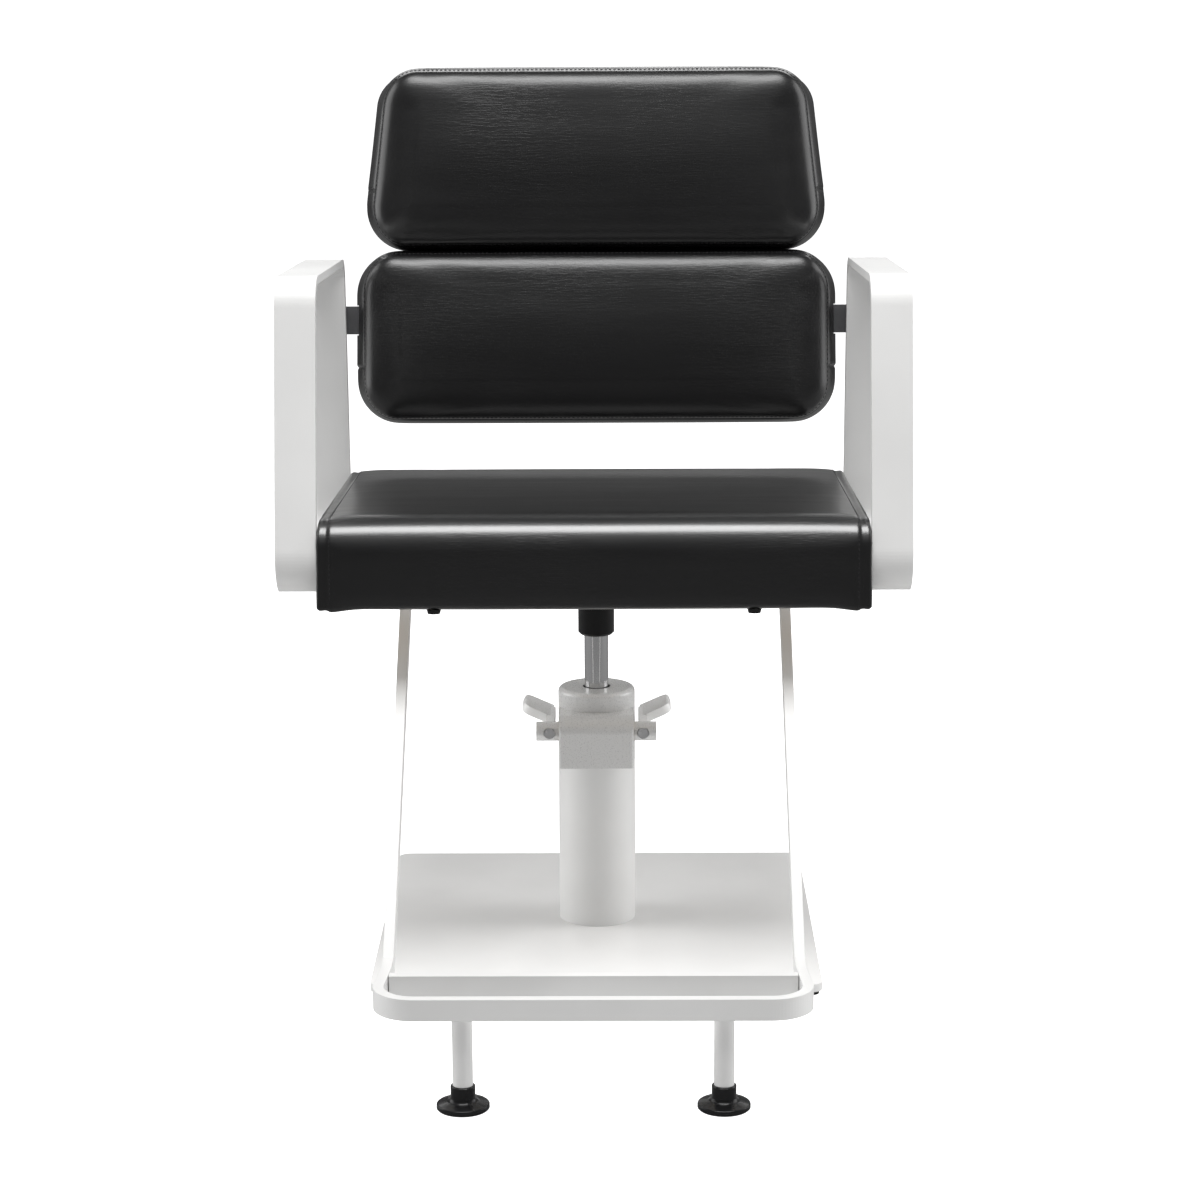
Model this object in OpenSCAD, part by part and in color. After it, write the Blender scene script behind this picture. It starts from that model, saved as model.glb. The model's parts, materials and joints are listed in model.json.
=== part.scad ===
// Hydraulic styling chair: square base, foot-pumped column, padded seat and
// two-pad back between closed arm loops, and a footrest frame on two legs.
// Millimetres. Origin: column axis at floor level. +Z up, the sitter faces -Y.

/* [Base] */
// Side of the square base plate
base_w = 450; // [400:5:520]
// Thickness of the base plate
base_t = 8; // [6:1:12]
// Corner radius of the base plate
base_corner_r = 12; // [8:1:40]
// Thickness of the rubber mat under the plate
mat_t = 4; // [3:0.5:6]
// How far the mat stands in from the plate's edge
mat_inset = 3; // [1:1:6]

/* [Column and pump] */
// Outer diameter of the column
column_d = 80; // [76:1:90]
// Wall of the column tube
column_wall = 3; // [2:0.5:3]
// Height where the column tube ends and the pump head begins
head_z = 185; // [180:1:190]
// Height of the pump head's top face
head_top_z = 262.5; // [262:0.5:266]
// Rounding of the head's top edge
head_edge_r = 5; // [2:1:8]
// Width of the shaft housing on the front of the head
housing_w = 77; // [74:1:78]
// Rounding of the housing's top front edge, about the shaft's axis
housing_edge_r = 17.5; // [17:0.5:18.5]
// Height of the housing's lower face
housing_bottom_z = 190; // [187:1:195]
// Diameter of the chromed ram
ram_d = 25; // [22:1:26]
// Outer diameter of the pressure cylinder
cylinder_d = 40; // [38:1:40]
// Wall of the pressure cylinder
cylinder_wall = 4; // [3:0.5:4]
// Travel of the lift
lift_travel = 130; // [80:5:130]

/* [Pedals] */
// Diameter of the cross shaft
shaft_d = 20; // [18:0.5:20]
// Length of the cross shaft
shaft_len = 124; // [120:1:130]
// Distance of the shaft's axis in front of the column's axis
shaft_forward = 46; // [45:0.5:47]
// Height of the shaft's axis
shaft_z = 225.5; // [224:0.5:226]
// Swing of the pedals from rest to fully pressed, in degrees
pedal_swing = 20; // [15:1:20]
// Length of a pedal arm behind the shaft
pedal_arm_len = 82; // [70:1:90]
// Rise of each paddle towards its outer edge, in degrees
paddle_rise = 24; // [10:1:35]

/* [Footrest] */
// Outer width across the hangers
footrest_w = 390; // [360:5:400]
// Outer width of the footrest at its front
footrest_front_w = 402; // [392:1:410]
// Thickness of the flat bar
bar_t = 10; // [8:1:12]
// Height of the flat bar
bar_h = 20; // [16:1:24]
// Distance of the footrest's front face in front of the column's axis
footrest_forward = 541; // [520:1:560]
// Height of the footrest's top face
footrest_top_z = 109; // [100:1:120]
// Corner radius of the footrest at the middle of the bar
footrest_corner_r = 34; // [30:1:60]
// Distance from the front bar's front face to the cross bar's front face
cross_bar_back = 64; // [55:1:75]
// Where the middle line of a hanger turns down, in front of the column's axis
hanger_bend_forward = 99; // [90:1:110]
// Radius of that bend at the middle of the bar
hanger_bend_r = 55; // [30:1:70]
// Where the middle line of a hanger turns level again
hanger_foot_forward = 422; // [415:1:430]
// Distance between the two leg tubes
leg_spacing = 235; // [200:5:280]
// Outer diameter of a leg tube
leg_d = 18.5; // [16:0.5:20]
// Diameter of a glide's foot
glide_d = 48; // [40:1:55]
// Height of a glide
glide_h = 22; // [20:1:30]

/* [Seat] */
// Height of the upholstery's lower edge above the column's axis point
seat_z = 382.4; // [380:0.2:386]
// Rake of the seat and arms, rear lower, in degrees
seat_rake = 3; // [1:0.5:4]
// Width of the seat cushion
seat_w = 524; // [500:2:528]
// Front of the cushion, in front of the column's axis
seat_front = 232; // [228:1:236]
// Rear of the cushion, behind the column's axis
seat_rear = 172; // [168:1:174]
// Thickness of the cushion
seat_t = 90; // [80:1:100]

/* [Arms] */
// Width of the arm strip
arm_w = 40; // [36:1:44]
// Thickness of the arm strip
arm_t = 8; // [6:1:8]
// Distance between the two arms
arm_gap = 536; // [534:1:540]
// Height of the arm loop above the cross bars
arm_h = 306; // [290:1:320]

/* [Back] */
// Rake of the back, top rearward, in degrees
back_rake = 8; // [4:1:10]
// Distance of the back bar behind the column's axis
back_y = 177.5; // [177:0.5:180]
// Height of the back bar's middle line
back_z = 624; // [620:1:626]
// Height of the back bar
back_bar_h = 30; // [26:1:32]
// Thickness of the back bar
back_bar_t = 6; // [5:1:6]
// Half width of the lower pad
lower_half_w = 256; // [250:1:258]
// Half width of the upper pad at its bottom
upper_half_w = 256; // [250:1:258]
// Half width of the upper pad at its top
upper_top_half_w = 234; // [225:1:250]
// Thickness of foam and leather in front of the boards
pad_front_t = 26; // [20:1:30]

/* [Hidden] */
$fn = 64;
RUNNING = 0.05;          // radial clearance of a shaft that turns or slides
FIT = 0.02;              // radial clearance of a fixed fit
ARC_STEPS = 20;          // straight pieces in one rounded corner
BIG = 700;               // larger than any part, for cutting

plate_top = mat_t + base_t;
column_r = column_d / 2;
column_in_r = column_r - column_wall;
ram_r = ram_d / 2;
cylinder_r = cylinder_d / 2;
cylinder_in_r = cylinder_r - cylinder_wall;
shaft_r = shaft_d / 2;
shaft_y = -shaft_forward;

// Heights inside the pump
foot_top = plate_top + 14;            // top of the cylinder's foot block
cylinder_seat = plate_top + 6;        // the cylinder stands here
spigot_z = head_z - 13;               // lower end of the head's spigot
cylinder_top = head_z - 7;
chamber_z = head_z + 7;               // floor of the head's oil chamber
chamber_top = head_z + 58.5;
chamber_r = column_r - 5.5;
piston_z = plate_top + 18;
piston_h = cylinder_top - piston_z - lift_travel - 2;
ram_neck_r = 8;                       // lower end of the ram, inside the piston
ram_top_z = seat_z - 24.4;
cover_z = seat_z - 63.9;
socket_z = cover_z + 2;
socket_r = 16;
cover_r = 18.75;
wiper_r = 14.4;
ram_bush_r = 15.5;
shaft_bush_r = 12.5;
shaft_bush_x = 26;                    // inner end of a shaft bush
housing_corner_r = 3;

// The pump plunger, pushed by a rocker on the cross shaft
plunger_y = 19;
rocker_len = plunger_y - shaft_y;
rocker_hub_r = 13;
rocker_tip_r = 5;
rocker_x = 19.5;                      // middle plane of the rocker
rocker_w = 7;
rocker_rise = pedal_swing / 2;        // the rocker swings equally above and below level
plunger_r = 4.5;
barrel_r = 7;
barrel_z = plate_top + 98;
barrel_floor = 6;
plunger_top = shaft_z + rocker_len * sin(rocker_rise) - rocker_tip_r - 0.1;
plunger_cap_t = 4;
pipe_r = 3;

// Pedals, measured from the shaft's axis
pedal_x = 43.5;                       // inner face of a pedal arm
pedal_arm_w = 9.5;
pedal_arm_h = 13;
paddle_w = 33;
paddle_len = 50;
paddle_t = 9;
paddle_back = 65;                     // middle of the paddle behind the shaft
pedal_bolt_x = pedal_x + pedal_arm_w / 2;

// Footrest
bar_mid_x = (footrest_w - bar_t) / 2;
front_mid_x = (footrest_front_w - bar_t) / 2;
bar_mid_z = footrest_top_z - bar_h / 2;
footrest_mid_y = -footrest_forward + bar_t / 2;
footrest_rear_y = -hanger_foot_forward - 23;   // butt joint to the hangers
footrest_tail = 6;                             // straight ends behind the flared sides
leg_y = footrest_mid_y + bar_t / 2 + leg_d / 2;
leg_in_r = leg_d / 2 - 1.5;
stud_r = 4;
leg_top = footrest_top_z - 6.5;

// Seat frame, in the raked frame: heights above the upholstery's lower edge
rail_top = 6;
rail_rear = 150;
seat_bar_w = 40;
seat_bar_t = 6;
seat_bar_len = 604;
front_bar_y = -125;
rear_bar_y = 115;
board_z = rail_top + seat_bar_t;
board_t = 12;
board_margin = 10;
seat_plate_t = 6;
seat_plate_under = rail_top - bar_h - seat_plate_t - FIT;
seat_bolt_x = 120;
arm_bolt_x = (arm_gap + arm_w) / 2;
recess_h = board_z + board_t + 1.8;
button_x = 155;

// Arm loop in the raked frame, front bottom first, counter-clockwise seen from +X
arm_loop = [
    [-seat_front, board_z],
    [seat_rear + 16, board_z],
    [seat_rear - 24, board_z + arm_h],
    [-seat_front + 50, board_z + arm_h]
];
arm_radii = [40, 30, 24, 34];

// Back: depths in the back frame, front negative, bar centred on zero
strap_x = 110;
strap_w = 30;
strap_t = 5;
strap_front = -back_bar_t / 2 - strap_t;
back_board_t = 12;
board_front = strap_front - back_board_t;
pad_front = board_front - pad_front_t;
pad_rear = 9;
panel_t = 4;
pad_wall = 20;
lower_pad_z = [-111, 72];
upper_pad_z = [75, 267];
lower_radii = [46, 46, 46, 46];
upper_radii = [48, 48, 42, 42];
screw_heights = [-55, 45, 100, 205];

// Fasteners
m8_r = 4;
m8_head_r = 7.5;
m8_head_h = 5.3;

// ---- Geometry helpers ----

// Unit vector from a to b, its left-hand normal, and a vector turned by an angle
function along(a, b) = (b - a) / norm(b - a);
function left_of(v) = [-v[1], v[0]];
function turned(v, angle) = [
    v[0] * cos(angle) - v[1] * sin(angle),
    v[0] * sin(angle) + v[1] * cos(angle)
];

// Where corner b of a, b, c goes when both of its lines move d to their left
function shifted_corner(a, b, c, d) =
    let (n = left_of(along(a, b)), m = left_of(along(b, c)))
    b + d * (n + m) / (1 + n * m);

// A closed loop moved d inwards, when its points run counter-clockwise
function shifted_loop(points, d) =
    let (count = len(points))
    [for (i = [0:count - 1])
        shifted_corner(points[(i + count - 1) % count], points[i], points[(i + 1) % count], d)];

// An open path moved d to its left
function shifted_path(points, d) =
    let (last = len(points) - 1)
    [for (i = [0:last])
        i == 0 ? points[0] + d * left_of(along(points[0], points[1]))
        : i == last ? points[last] + d * left_of(along(points[last - 1], points[last]))
        : shifted_corner(points[i - 1], points[i], points[i + 1], d)];

// The arc of radius r that rounds corner b between the lines a-b and b-c
function corner_arc(a, b, c, r) =
    let (u = along(a, b),
         v = along(b, c),
         turn = atan2(u[0] * v[1] - u[1] * v[0], u * v),
         start = b - u * r * tan(abs(turn) / 2),
         centre = start + left_of(u) * r * sign(turn))
    r <= 0 ? [b]
    : [for (i = [0:ARC_STEPS]) centre + turned(start - centre, turn * i / ARC_STEPS)];

// A closed loop with a radius at each corner
function rounded_loop(points, radii) =
    let (count = len(points))
    [for (i = [0:count - 1])
        each corner_arc(points[(i + count - 1) % count], points[i],
                        points[(i + 1) % count], radii[i])];

// An open path with a radius at each inner corner
function rounded_path(points, radii) =
    let (last = len(points) - 1)
    [for (i = [0:last])
        each (i == 0 || i == last ? [points[i]]
              : corner_arc(points[i - 1], points[i], points[i + 1], radii[i]))];

// Radii of a path moved d to its left: a left turn tightens, a right turn opens
function shifted_radii(points, radii, d) =
    let (last = len(points) - 1)
    [for (i = [0:last])
        i == 0 || i == last || radii[i] == 0 ? 0
        : let (u = along(points[i - 1], points[i]), v = along(points[i], points[i + 1]))
          radii[i] - d * sign(u[0] * v[1] - u[1] * v[0])];

// Flat outline of a bar of the given width that follows a path
module bent_bar(points, radii, width) {
    half = width / 2;
    one_side = rounded_path(shifted_path(points, half), shifted_radii(points, radii, half));
    other_side = rounded_path(shifted_path(points, -half), shifted_radii(points, radii, -half));
    back_again = [for (i = [len(other_side) - 1:-1:0]) other_side[i]];
    polygon(concat(one_side, back_again));
}

// A point of the raked seat frame in plain (Y, Z)
function seat_point(y, z) = [
    y * cos(seat_rake) + z * sin(seat_rake),
    seat_z - y * sin(seat_rake) + z * cos(seat_rake)
];

// A point of the back frame (depth, height) in plain (Y, Z)
function back_point(d, w) = [
    back_y + d * cos(back_rake) + w * sin(back_rake),
    back_z - d * sin(back_rake) + w * cos(back_rake)
];

module seat_frame() {
    translate([0, 0, seat_z])
        rotate([-seat_rake, 0, 0])
            children();
}

module back_frame() {
    translate([0, back_y, back_z])
        rotate([-back_rake, 0, 0])
            children();
}

module shaft_frame() {
    translate([0, shaft_y, shaft_z])
        children();
}

// Draws a side view (Y, Z) as a solid across X
module across(width) {
    rotate([90, 0, 90])
        linear_extrude(width, center = true)
            children();
}

// Draws a front view (X, Z) as a solid from one depth to another
module slab(front, rear) {
    translate([0, rear, 0])
        rotate([90, 0, 0])
            linear_extrude(rear - front)
                children();
}

// Puts a shape on the right, and its mirror image on the left
module both_sides() {
    children();
    mirror([1, 0, 0])
        children();
}

// A cylinder along X, centred
module x_rod(r, len) {
    rotate([0, 90, 0])
        cylinder(r = r, h = len, center = true);
}

// A cylinder along Y from one depth to another
module y_rod(r, front, rear) {
    translate([0, rear, 0])
        rotate([90, 0, 0])
            cylinder(r = r, h = rear - front);
}

module ring(outer, inner, h) {
    difference() {
        cylinder(r = outer, h = h);
        translate([0, 0, -1])
            cylinder(r = inner, h = h + 2);
    }
}

// An M8 bolt standing up from the underside of its head's seat
module m8_bolt(shank) {
    translate([0, 0, -m8_head_h])
        cylinder(r = m8_head_r, h = m8_head_h, $fn = 6);
    cylinder(r = m8_r, h = shank);
}

module rounded_square(w, r) {
    union() {
        square([w - 2 * r, w], center = true);
        square([w, w - 2 * r], center = true);
        for (x = [-1, 1], y = [-1, 1])
            translate([x * (w / 2 - r), y * (w / 2 - r)])
                circle(r = r);
    }
}

// ---- Base ----

module base_mat() {
    color("#1c1c1d")
        linear_extrude(mat_t)
            rounded_square(base_w - 2 * mat_inset, base_corner_r - mat_inset);
}

module base_plate() {
    color("#e6e5e2")
        translate([0, 0, mat_t])
            linear_extrude(base_t)
                rounded_square(base_w, base_corner_r);
}

module column_tube() {
    color("#e9e8e4")
        translate([0, 0, plate_top])
            ring(column_r, column_in_r, head_z - plate_top);
}

// ---- Pump, fixed parts ----

module cylinder_foot() {
    color("#8f9194")
        difference() {
            translate([0, 0, plate_top])
                cylinder(r = column_in_r - 0.2, h = foot_top - plate_top);
            translate([0, 0, cylinder_seat])
                cylinder(r = cylinder_r + FIT, h = foot_top);
            translate([0, 0, plate_top + 1])
                cylinder(r = 4.5, h = foot_top);
            translate([rocker_x, plunger_y, plate_top + 8])
                cylinder(r = pipe_r + FIT, h = foot_top);
        }
}

module pump_cylinder() {
    color("#9da0a3")
        translate([0, 0, cylinder_seat])
            ring(cylinder_r, cylinder_in_r, cylinder_top - cylinder_seat);
}

module head_body() {
    translate([0, 0, head_z])
        rotate_extrude($fn = 96)
            polygon(concat(
                [[0, 0], [column_r, 0]],
                corner_arc([column_r, 0], [column_r, head_top_z - head_z],
                           [0, head_top_z - head_z], head_edge_r),
                [[0, head_top_z - head_z]]
            ));
    translate([0, 0, spigot_z])
        cylinder(r = column_in_r - 0.1, h = head_z - spigot_z + 1);
    shaft_housing();
}

// Block on the head's front: a level ledge, a front edge rolled about the shaft
module shaft_housing() {
    front = shaft_y - housing_edge_r;
    ledge_z = shaft_z + housing_edge_r;
    side_view = [[front, housing_bottom_z], [0, housing_bottom_z], [0, ledge_z], [front, ledge_z]];
    plan = [[-housing_w / 2, front], [housing_w / 2, front], [housing_w / 2, 0], [-housing_w / 2, 0]];
    intersection() {
        across(housing_w + 2)
            polygon(rounded_loop(side_view, [0, 0, 0, housing_edge_r]));
        translate([0, 0, head_z])
            linear_extrude(head_top_z - head_z)
                polygon(rounded_loop(plan, [housing_corner_r, housing_corner_r, 0, 0]));
    }
}

module pump_head() {
    color("#a9abac")
        difference() {
            head_body();
            translate([0, 0, chamber_z])
                cylinder(r = chamber_r, h = chamber_top - chamber_z);
            shaft_frame() {
                x_rod(rocker_hub_r + 1, shaft_bush_x * 2);
                x_rod(shaft_bush_r + FIT, housing_w + 2);
                translate([rocker_x - rocker_w / 2 - 1.5, 0, -rocker_hub_r])
                    cube([rocker_w + 3, shaft_forward - chamber_r + 10, rocker_hub_r * 2]);
            }
            translate([0, 0, spigot_z - 1])
                cylinder(r = cylinder_r + FIT, h = cylinder_top - spigot_z + 1);
            translate([0, 0, spigot_z])
                cylinder(r = ram_r + 1, h = head_top_z);
            translate([0, 0, chamber_top - 1])
                cylinder(r = ram_bush_r + FIT, h = head_top_z - chamber_top - 6);
            translate([0, 0, head_top_z - 6])
                cylinder(r = wiper_r + FIT, h = 7);
            translate([rocker_x, plunger_y, spigot_z - 1])
                cylinder(r = barrel_r + FIT, h = chamber_z - spigot_z + 2);
        }
}

module ram_bush() {
    color("#b08d4f")
        translate([0, 0, chamber_top])
            ring(ram_bush_r, ram_r + RUNNING, head_top_z - chamber_top - 7.5);
}

module ram_wiper_seal() {
    color("#202021")
        translate([0, 0, head_top_z - 6])
            ring(wiper_r, ram_r + RUNNING, 5.5);
}

module shaft_bushes() {
    color("#b08d4f")
        both_sides()
            translate([shaft_bush_x, shaft_y, shaft_z])
                rotate([0, 90, 0])
                    ring(shaft_bush_r, shaft_r + RUNNING, housing_w / 2 - shaft_bush_x);
}

module pump_barrel() {
    color("#9da0a3")
        translate([rocker_x, plunger_y, barrel_z])
            difference() {
                cylinder(r = barrel_r, h = chamber_z - barrel_z);
                translate([0, 0, barrel_floor])
                    cylinder(r = plunger_r + RUNNING, h = chamber_z);
                translate([0, 0, -1])
                    cylinder(r = pipe_r + FIT, h = barrel_floor);
            }
}

module oil_pipe() {
    color("#b3763f")
        translate([rocker_x, plunger_y, plate_top + 8])
            ring(pipe_r, pipe_r - 1, barrel_z + barrel_floor - 1 - plate_top - 8);
}

module check_valve_balls() {
    color("#c9cbcd") {
        translate([0, 0, plate_top + 1 + 4 + FIT])
            sphere(r = 4);
        translate([rocker_x, plunger_y, barrel_z + barrel_floor + 3 + FIT])
            sphere(r = 3);
    }
}

// A coil spring: circles of wire carried round a helix between two heights
module coil(coil_r, wire_r, low, high, turns) {
    wire_sides = 8;
    turn_steps = 18;
    count = turns * turn_steps;
    points = [for (i = [0:count], j = [0:wire_sides - 1])
        let (a = 360 * i / turn_steps,
             b = 360 * j / wire_sides,
             r = coil_r + wire_r * cos(b))
        [r * cos(a), r * sin(a), low + (high - low) * i / count + wire_r * sin(b)]];
    sides = [for (i = [0:count - 1], j = [0:wire_sides - 1])
        let (k = (j + 1) % wire_sides)
        [i * wire_sides + j, i * wire_sides + k,
         (i + 1) * wire_sides + k, (i + 1) * wire_sides + j]];
    first_end = [for (j = [wire_sides - 1:-1:0]) j];
    last_end = [for (j = [0:wire_sides - 1]) count * wire_sides + j];
    polyhedron(points, concat([first_end, last_end], sides), convexity = 10);
}

module plunger_spring() {
    wire_r = 0.6;
    color("#8b8d90")
        translate([rocker_x, plunger_y, 0])
            coil(5.6, wire_r, chamber_z + wire_r + 0.05,
                 plunger_top - plunger_cap_t - wire_r - 0.05, 7);
}

// ---- Pedals ----

module cross_shaft() {
    color("#a7a9ab")
        shaft_frame()
            difference() {
                x_rod(shaft_r, shaft_len);
                for (x = [-pedal_bolt_x, pedal_bolt_x])
                    translate([x, 0, 0]) {
                        y_rod(3.05, -shaft_d, shaft_d);
                        y_rod(6, -shaft_d, -shaft_r + 1.5);
                    }
            }
}

// Finger fixed on the shaft; its round tip pushes the plunger down
module plunger_rocker() {
    color("#77797c")
        translate([rocker_x, shaft_y, shaft_z])
            rotate([rocker_rise, 0, 0])
                difference() {
                    union() {
                        x_rod(rocker_hub_r, rocker_w);
                        translate([0, rocker_len, 0])
                            x_rod(rocker_tip_r, rocker_w);
                        translate([-rocker_w / 2, 0, -2])
                            cube([rocker_w, rocker_len, 6]);
                    }
                    x_rod(shaft_r + FIT, rocker_w + 2);
                }
}

// Tread of a pedal, from its arm outwards, with rounded corners and outer edges
module paddle() {
    plan = [
        [0, -paddle_len / 2],
        [paddle_w, -paddle_len / 2],
        [paddle_w, paddle_len / 2],
        [0, paddle_len / 2]
    ];
    front_view = [
        [0, -paddle_t / 2],
        [paddle_w, -paddle_t / 2],
        [paddle_w, paddle_t / 2],
        [0, paddle_t / 2]
    ];
    intersection() {
        translate([0, 0, -paddle_t])
            linear_extrude(paddle_t * 2)
                polygon(rounded_loop(plan, [0, 11, 11, 0]));
        slab(-paddle_len, paddle_len)
            polygon(rounded_loop(front_view, [0, 3, 3, 0]));
    }
}

module right_pedal_body() {
    arm_side = [
        [2, -pedal_arm_h / 2],
        [pedal_arm_len, -pedal_arm_h / 2],
        [pedal_arm_len, pedal_arm_h / 2],
        [2, pedal_arm_h / 2]
    ];
    shaft_frame()
        difference() {
            union() {
                translate([pedal_x + pedal_arm_w / 2, 0, 0])
                    across(pedal_arm_w)
                        polygon(rounded_loop(arm_side, [2, 6, 6, 4]));
                translate([pedal_x + pedal_arm_w - 6, paddle_back, 1])
                    rotate([0, -paddle_rise, 0])
                        paddle();
            }
            x_rod(shaft_r + FIT, shaft_len * 2);
            translate([pedal_bolt_x, 0, 0])
                y_rod(3 + FIT, 0, 26);
        }
}

module left_pedal() {
    color("#dcdcda")
        mirror([1, 0, 0])
            right_pedal_body();
}

module right_pedal() {
    color("#dcdcda")
        right_pedal_body();
}

module pedal_bolts() {
    color("#c4c6c7")
        shaft_frame()
            for (x = [-pedal_bolt_x, pedal_bolt_x])
                translate([x, 0, 0]) {
                    y_rod(5.5, -shaft_r - 1.5, -shaft_r + 1.5);
                    y_rod(3, -shaft_r, 25);
                }
}

module pump_plunger() {
    color("#c9cbcd")
        translate([rocker_x, plunger_y, 0]) {
            translate([0, 0, plunger_top - 75])
                cylinder(r = plunger_r, h = 74);
            translate([0, 0, plunger_top - plunger_cap_t])
                cylinder(r = barrel_r, h = plunger_cap_t);
        }
}

// ---- Ram ----

ring_heights = [piston_z + piston_h / 4, piston_z + piston_h * 3 / 4];
ring_wire_r = 1;

module ram_piston() {
    color("#85878a")
        difference() {
            translate([0, 0, piston_z])
                ring(cylinder_in_r - RUNNING, ram_neck_r + RUNNING, piston_h);
            for (z = ring_heights)
                translate([0, 0, z - 1.2])
                    ring(cylinder_in_r + 1, cylinder_in_r - 2.4, 2.4);
        }
}

module piston_rings() {
    color("#202021")
        for (z = ring_heights)
            translate([0, 0, z])
                rotate_extrude()
                    translate([cylinder_in_r - ring_wire_r - 0.15, 0])
                        circle(r = ring_wire_r, $fn = 24);
}

module ram() {
    color("#c8cacc") {
        translate([0, 0, piston_z + piston_h + RUNNING])
            cylinder(r = ram_r, h = ram_top_z - piston_z - piston_h - RUNNING);
        translate([0, 0, piston_z - 6])
            cylinder(r = ram_neck_r, h = piston_h + 8);
    }
}

module ram_nut() {
    color("#8f9194")
        translate([0, 0, piston_z - 6])
            difference() {
                cylinder(r = 13, h = 6 - RUNNING, $fn = 6);
                translate([0, 0, -1])
                    cylinder(r = ram_neck_r + FIT, h = 8);
            }
}

module ram_socket() {
    color("#3b3c3e")
        difference() {
            translate([0, 0, socket_z])
                ring(socket_r, ram_r + FIT, seat_z - socket_z);
            seat_frame()
                translate([-BIG / 2, -BIG / 2, seat_plate_under - FIT])
                    cube([BIG, BIG, BIG]);
        }
}

module socket_cover() {
    cover_h = seat_z - 21.4 - cover_z;
    color("#171718")
        translate([0, 0, cover_z])
            rotate_extrude()
                polygon([
                    [ram_r + 0.6, 0], [cover_r - 2.5, 0], [cover_r, 2.5], [cover_r, cover_h],
                    [socket_r + FIT, cover_h], [socket_r + FIT, 2], [ram_r + 0.6, 2]
                ]);
}

// ---- Seat frame, hangers and footrest ----

module seat_plate() {
    color("#e6e5e2")
        seat_frame()
            translate([-footrest_w / 2, -70, seat_plate_under])
                cube([footrest_w, 160, seat_plate_t]);
}

// One flat bar: rail under the seat, bend, slope and foot
module right_hanger_body() {
    rail_mid = rail_top - bar_h / 2;
    path = [
        seat_point(rail_rear, rail_mid),
        seat_point(-hanger_bend_forward, rail_mid),
        [-hanger_foot_forward, bar_mid_z],
        [footrest_rear_y, bar_mid_z]
    ];
    translate([bar_mid_x, 0, 0])
        across(bar_t)
            bent_bar(path, [0, hanger_bend_r, 0, 0], bar_h);
}

module left_hanger() {
    color("#e9e8e4")
        mirror([1, 0, 0])
            right_hanger_body();
}

module right_hanger() {
    color("#e9e8e4")
        right_hanger_body();
}

module footrest_frame() {
    flare_y = footrest_rear_y - footrest_tail;
    path = [
        [-bar_mid_x, footrest_rear_y],
        [-bar_mid_x, flare_y],
        [-front_mid_x, footrest_mid_y],
        [front_mid_x, footrest_mid_y],
        [bar_mid_x, flare_y],
        [bar_mid_x, footrest_rear_y]
    ];
    color("#e9e8e4")
        translate([0, 0, footrest_top_z - bar_h])
            linear_extrude(bar_h)
                bent_bar(path, [0, 0, footrest_corner_r, footrest_corner_r, 0, 0], bar_t);
}

module footrest_cross_bar() {
    rear_face_y = -footrest_forward + cross_bar_back + bar_t;
    flare_y = footrest_rear_y - footrest_tail;
    flare = (front_mid_x - bar_mid_x) / (flare_y - footrest_mid_y);
    inner_w = footrest_w - 2 * bar_t + 2 * flare * (flare_y - rear_face_y) - 2 * FIT;
    color("#e9e8e4")
        translate([-inner_w / 2, rear_face_y - bar_t, footrest_top_z - bar_h])
            cube([inner_w, bar_t, bar_h]);
}

module leg(side) {
    translate([side * leg_spacing / 2, leg_y, glide_h + 0.2])
        ring(leg_d / 2, leg_in_r, leg_top - glide_h - 0.2);
}

module left_leg() {
    color("#e9e8e4")
        leg(-1);
}

module right_leg() {
    color("#e9e8e4")
        leg(1);
}

module leg_inserts() {
    color("#8f9194")
        both_sides()
            translate([leg_spacing / 2, leg_y, glide_h + 0.2])
                ring(leg_in_r - FIT, stud_r + RUNNING, 22);
}

// Turned glide foot: wide disc with a round rim, hollow flare and straight collar
module glide(side) {
    collar_r = 11.2;
    rim = [glide_d / 2, 5];
    foot_of_collar = [collar_r, 8];
    collar_top = [collar_r, glide_h];
    outline = concat(
        [[0, 0], [rim[0] - 1, 0], [rim[0], 1]],
        corner_arc([rim[0], 1], rim, foot_of_collar, 1.5),
        corner_arc(rim, foot_of_collar, collar_top, 5),
        [[collar_r, glide_h - 0.6], [collar_r - 0.6, glide_h], [0, glide_h]]
    );
    translate([side * leg_spacing / 2, leg_y, 0])
        difference() {
            rotate_extrude()
                polygon(outline);
            translate([0, 0, glide_h - 14])
                cylinder(r = stud_r + FIT, h = 20);
        }
}

module left_glide() {
    color("#151516")
        glide(-1);
}

module right_glide() {
    color("#151516")
        glide(1);
}

module glide_stud(side) {
    translate([side * leg_spacing / 2, leg_y, glide_h - 14])
        cylinder(r = stud_r, h = 46);
}

module left_glide_stud() {
    color("#c4c6c7")
        glide_stud(-1);
}

module right_glide_stud() {
    color("#c4c6c7")
        glide_stud(1);
}

// A flat bar under the seat board that carries both arms
module seat_bar(y) {
    seat_frame()
        difference() {
            translate([-seat_bar_len / 2, y - seat_bar_w / 2, rail_top])
                cube([seat_bar_len, seat_bar_w, seat_bar_t]);
            for (x = [-seat_bolt_x, seat_bolt_x])
                translate([x, y, 0])
                    cylinder(r = m8_r + 0.2, h = 30);
            for (x = [-arm_bolt_x, arm_bolt_x])
                translate([x, y, 0])
                    cylinder(r = m8_r + FIT, h = 30);
        }
}

module front_seat_bar() {
    color("#e6e5e2")
        seat_bar(front_bar_y);
}

module rear_seat_bar() {
    color("#e6e5e2")
        seat_bar(rear_bar_y);
}

module at_seat_bolts() {
    for (x = [-seat_bolt_x, seat_bolt_x], y = [front_bar_y, rear_bar_y])
        translate([x, y, 0])
            children();
}

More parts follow.
